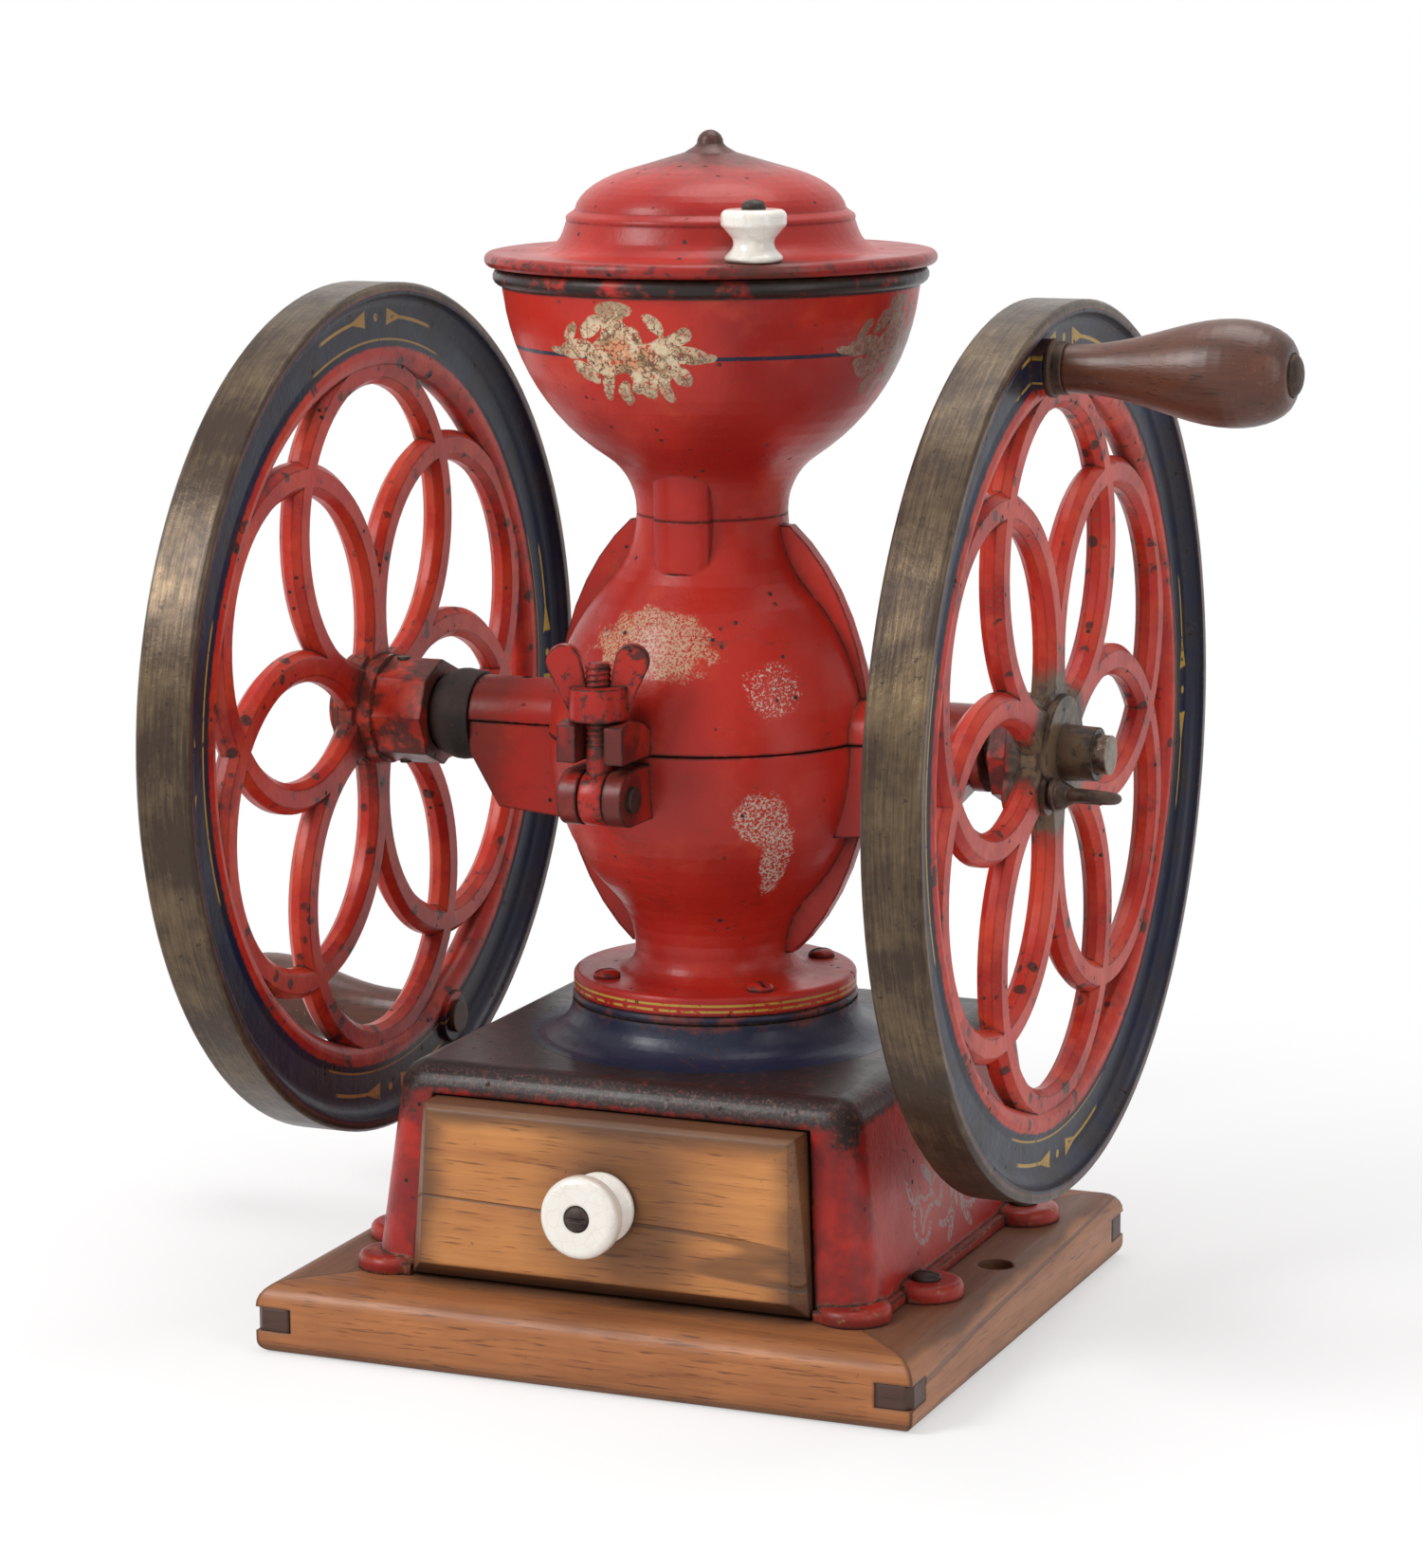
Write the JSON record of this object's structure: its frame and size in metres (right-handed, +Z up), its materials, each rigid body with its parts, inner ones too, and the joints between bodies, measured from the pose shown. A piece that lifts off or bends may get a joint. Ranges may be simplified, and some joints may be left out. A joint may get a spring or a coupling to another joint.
{
  "type": "hand crank coffee grinder",
  "caption": "Table coffee mill with twin flywheels and turned crank handles on a cross shaft, an egg shaped burr case, a hopper with a swivelling lid, and a drawer in a box on a wooden base",
  "frame": {"origin": "on the table under the mill's upright axis, in the underside of the wooden base", "axes": "+X along the crank shaft towards the wheel with the raised handle, -Y towards the drawer's front, +Z up"},
  "size_m": [0.3969, 0.273, 0.3684],
  "materials": {
    "red_paint": "old glossy red enamel, worn at edges",
    "wheel_paint": "red enamel with dark blue rim faces, worn",
    "navy_paint": "dark blue and black enamel, worn",
    "knob_iron": "black enamelled iron, worn",
    "bare_iron": "dark brown, dull",
    "steel": "worn, greasy",
    "maple": "orange brown, old varnish",
    "dark_wood": "dark brown varnish",
    "plain_wood": "bare, unvarnished",
    "porcelain": "white glaze, slightly crazed"
  },
  "bodies": {
    "frame": {"front_rail": "maple", "back_rail": "maple", "left_rail": "maple", "right_rail": "maple", "centre_board": "plain_wood", "corner_keys": "dark_wood", "pedestal_box": "navy_paint", "foot_screws": "knob_iron", "flange_screws": "knob_iron", "lower_case": "red_paint", "upper_case": "red_paint", "hinge_pin": "bare_iron", "clevis_pin": "bare_iron", "hopper": "red_paint", "lid_pivot_screw": "knob_iron", "fixed_burr": "bare_iron", "burr_screws": "steel", "bearing_cap": "red_paint"},
    "drawer": {"drawer_front": "maple", "drawer_left_side": "plain_wood", "drawer_right_side": "plain_wood", "drawer_back": "plain_wood", "drawer_floor": "plain_wood", "drawer_knob": "porcelain", "drawer_knob_screw": "knob_iron"},
    "lid": {"lid": "red_paint", "lid_knob": "porcelain", "lid_knob_screw": "knob_iron"},
    "swing_bolt": {"swing_bolt": "red_paint"},
    "wing_nut": {"wing_nut": "red_paint"},
    "rotor": {"shaft": "steel", "left_wheel": "wheel_paint", "right_wheel": "wheel_paint", "rotating_burr": "bare_iron", "feed_worm": "bare_iron", "thrust_collar": "knob_iron", "hub_pin": "bare_iron", "left_spindle": "bare_iron", "right_spindle": "bare_iron"},
    "regulating_screw": {"regulating_screw": "bare_iron"},
    "left_handle": {"left_handle": "dark_wood", "left_ferrule": "bare_iron"},
    "right_handle": {"right_handle": "dark_wood", "right_ferrule": "bare_iron"}
  },
  "joints": [
    {"name": "crank_spin", "type": "hinge", "parent": "frame", "child": "rotor", "pos_m": [0, 0, 0.18277], "axis": [1, 0, 0], "continuous": true},
    {"name": "left_handle_spin", "type": "hinge", "parent": "rotor", "child": "left_handle", "pos_m": [-0.1274, 0.04514, 0.07104], "axis": [1, 0, 0], "continuous": true},
    {"name": "right_handle_spin", "type": "hinge", "parent": "rotor", "child": "right_handle", "pos_m": [0.1177, -0.02279, 0.3011], "axis": [1, 0, 0], "continuous": true},
    {"name": "regulating_screw_turn", "type": "hinge", "parent": "rotor", "child": "regulating_screw", "pos_m": [0.115, -0.01348, 0.17224], "axis": [1, 0, 0], "range_deg": [-180, 180]},
    {"name": "drawer_slide", "type": "slide", "parent": "frame", "child": "drawer", "axis": [0, -1, 0], "range_m": [0, 0.1]},
    {"name": "lid_swivel", "type": "hinge", "parent": "frame", "child": "lid", "pos_m": [-0.03441, 0.04915, 0.327], "axis": [0, 0, 1], "range_deg": [0, 115]},
    {"name": "swing_bolt_hinge", "type": "hinge", "parent": "frame", "child": "swing_bolt", "pos_m": [-0.01, -0.065, 0.17177], "axis": [1, 0, 0], "range_deg": [0, 100]},
    {"name": "wing_nut_turn", "type": "hinge", "parent": "swing_bolt", "child": "wing_nut", "pos_m": [-0.01, -0.065, 0.19577], "axis": [0, 0, 1], "continuous": true}
  ]
}
